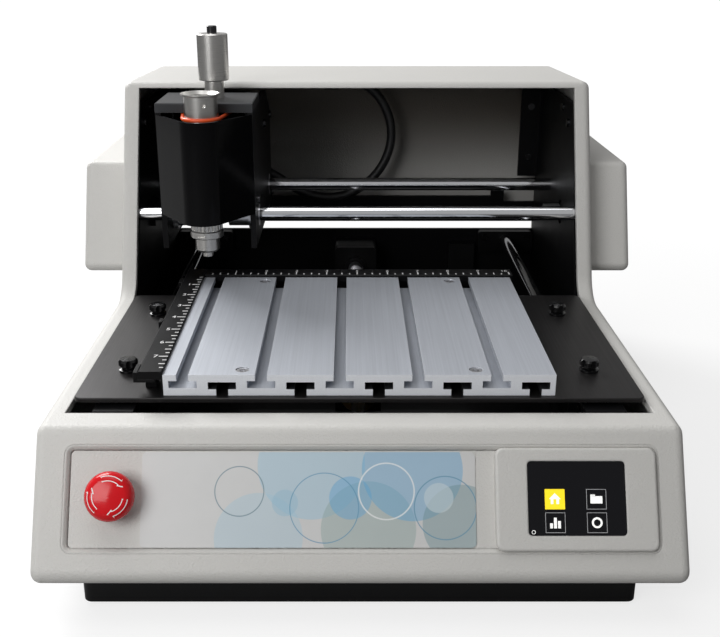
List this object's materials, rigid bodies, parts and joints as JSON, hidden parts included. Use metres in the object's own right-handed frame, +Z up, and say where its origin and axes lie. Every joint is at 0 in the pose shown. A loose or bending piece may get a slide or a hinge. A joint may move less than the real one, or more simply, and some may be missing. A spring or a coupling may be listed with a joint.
{
  "type": "desktop engraving machine",
  "caption": "Desktop engraving machine: moving T-slot table, spindle head on chromed rails under a moulded hood, sloped console with touch screen and stop button.",
  "frame": {"origin": "centre of the machine's footprint on the bench", "axes": "+X to the operator's right, +Y to the rear, +Z up"},
  "size_m": [0.478, 0.542, 0.332],
  "materials": {
    "casing_pale": "fine pebble grain",
    "black_sheet": "satin",
    "black_plate": "black anodised",
    "block_grey": "matte dark anodised",
    "rubber": "matt",
    "chromed_rail": "polished",
    "motor_black": "satin",
    "overlay_print": "printed film",
    "screen_glass": "glossy, lit behind",
    "collar_black": "satin",
    "screw_steel": "bright",
    "cable_rubber": "satin",
    "deck_anodised": "dark brushed, anodised",
    "table_anodised": "brushed, clear anodised",
    "ruler_black": "black anodised, white marks",
    "bearing_steel": "ground",
    "nut_brass": "turned",
    "knob_gloss": "glossy",
    "turned_steel": "fine turning marks",
    "cover_gloss": "high gloss",
    "belt_orange": "satin",
    "pulley_black": "black anodised",
    "button_red": "glossy"
  },
  "bodies": {
    "frame": {"casing": "casing_pale", "base_pan": "black_sheet", "rubber_feet": "rubber", "rear_cross_plate": "black_plate", "rear_base_plate": "black_plate", "gantry_plate_left": "black_plate", "gantry_plate_right": "black_plate", "x_rail_front": "chromed_rail", "x_rail_rear": "chromed_rail", "x_motor": "motor_black", "screw_bearings": "black_plate", "y_rail_left": "chromed_rail", "y_rail_right": "chromed_rail", "y_rail_blocks": "black_plate", "y_motor": "motor_black", "front_overlay": "overlay_print", "screen_bezel": "casing_pale", "touch_screen": "screen_glass", "estop_collar": "collar_black", "power_inlet": "collar_black", "cable_gland": "collar_black", "frame_screws": "screw_steel", "head_cable": "cable_rubber"},
    "table": {"deck_plate": "deck_anodised", "t_slot_table": "table_anodised", "x_ruler": "ruler_black", "y_ruler": "ruler_black", "ruler_brackets": "black_plate", "table_screws": "screw_steel", "y_carriage": "black_plate", "y_bearings": "bearing_steel", "y_nut": "nut_brass"},
    "knob_left_front": {"knob_left_front": "knob_gloss"},
    "knob_left_rear": {"knob_left_rear": "knob_gloss"},
    "knob_right_front": {"knob_right_front": "knob_gloss"},
    "knob_right_rear": {"knob_right_rear": "knob_gloss"},
    "y_screw": {"y_screw": "screw_steel"},
    "x_screw": {"x_screw": "screw_steel"},
    "z_screw": {"z_screw": "screw_steel"},
    "x_carriage": {"carriage_left_plate": "black_plate", "carriage_right_plate": "black_plate", "carriage_back_plate": "black_plate", "carriage_middle_plate": "black_plate", "top_block": "block_grey", "x_bearings": "bearing_steel", "x_nut": "nut_brass", "z_motor": "turned_steel", "z_guide_shafts": "chromed_rail", "carriage_screws": "screw_steel"},
    "z_head": {"z_slide": "black_plate", "spindle_housing": "black_plate", "spindle_cover": "cover_gloss", "spindle_motor": "motor_black", "drive_belt": "belt_orange"},
    "spindle": {"spindle_shaft": "turned_steel"},
    "nose_dial": {"nose_dial": "turned_steel"},
    "motor_pulley": {"motor_pulley": "pulley_black"},
    "estop_stem": {"estop_stem": "collar_black"},
    "estop_cap": {"estop_cap": "button_red"},
    "power_switch": {"power_switch": "collar_black"}
  },
  "joints": [
    {"name": "table_slide", "type": "slide", "parent": "frame", "child": "table", "axis": [0, 1, 0], "range_m": [0, 0.2032]},
    {"name": "y_screw_turn", "type": "hinge", "parent": "frame", "child": "y_screw", "pos_m": [0, 0, 0.08], "axis": [0, 1, 0], "continuous": true},
    {"name": "carriage_slide", "type": "slide", "parent": "frame", "child": "x_carriage", "axis": [1, 0, 0], "range_m": [0, 0.254]},
    {"name": "x_screw_turn", "type": "hinge", "parent": "frame", "child": "x_screw", "pos_m": [0, 0.1172, 0.163], "axis": [1, 0, 0], "continuous": true},
    {"name": "head_slide", "type": "slide", "parent": "x_carriage", "child": "z_head", "axis": [0, 0, -1], "range_m": [0, 0.015]},
    {"name": "z_screw_turn", "type": "hinge", "parent": "x_carriage", "child": "z_screw", "pos_m": [-0.118, 0.0592, 0.23], "axis": [0, 0, 1], "continuous": true},
    {"name": "pulley_turn", "type": "hinge", "parent": "z_head", "child": "motor_pulley", "pos_m": [-0.123, 0.121, 0.265], "axis": [0, 0, 1], "continuous": true},
    {"name": "spindle_turn", "type": "hinge", "parent": "z_head", "child": "spindle", "pos_m": [-0.123, 0.0122, 0.23], "axis": [0, 0, 1], "continuous": true},
    {"name": "nose_dial_turn", "type": "hinge", "parent": "z_head", "child": "nose_dial", "pos_m": [-0.123, 0.0122, 0.17], "axis": [0, 0, 1], "range_deg": [-165, 165]},
    {"name": "estop_press", "type": "slide", "parent": "frame", "child": "estop_stem", "axis": [0, 0.8704, -0.4924], "range_m": [0, 0.004], "stiffness_N_per_m": 600, "springref_m": -0.002},
    {"name": "estop_twist", "type": "hinge", "parent": "estop_stem", "child": "estop_cap", "pos_m": [-0.1505, -0.24581, 0.07621], "axis": [0, 0.8704, -0.4924], "range_deg": [0, 30], "stiffness_Nm_per_rad": 0.05, "springref_deg": -5.73},
    {"name": "power_rocker", "type": "hinge", "parent": "frame", "child": "power_switch", "pos_m": [0.112, 0.2537, 0.087], "axis": [-1, 0, 0], "range_deg": [0, 20]},
    {"name": "knob_left_front_turn", "type": "hinge", "parent": "table", "child": "knob_left_front", "pos_m": [-0.158, -0.1495, 0.12], "axis": [0, 0, 1], "continuous": true},
    {"name": "knob_left_rear_turn", "type": "hinge", "parent": "table", "child": "knob_left_rear", "pos_m": [-0.158, -0.0368, 0.12], "axis": [0, 0, 1], "continuous": true},
    {"name": "knob_right_front_turn", "type": "hinge", "parent": "table", "child": "knob_right_front", "pos_m": [0.158, -0.1495, 0.12], "axis": [0, 0, 1], "continuous": true},
    {"name": "knob_right_rear_turn", "type": "hinge", "parent": "table", "child": "knob_right_rear", "pos_m": [0.158, -0.0368, 0.12], "axis": [0, 0, 1], "continuous": true}
  ],
  "couplings": [
    {"joint": "y_screw_turn", "follows": "table_slide", "rad_per_m": -494.74},
    {"joint": "x_screw_turn", "follows": "carriage_slide", "rad_per_m": -494.74},
    {"joint": "z_screw_turn", "follows": "head_slide", "rad_per_m": 1979},
    {"joint": "spindle_turn", "follows": "pulley_turn", "ratio": 2}
  ]
}
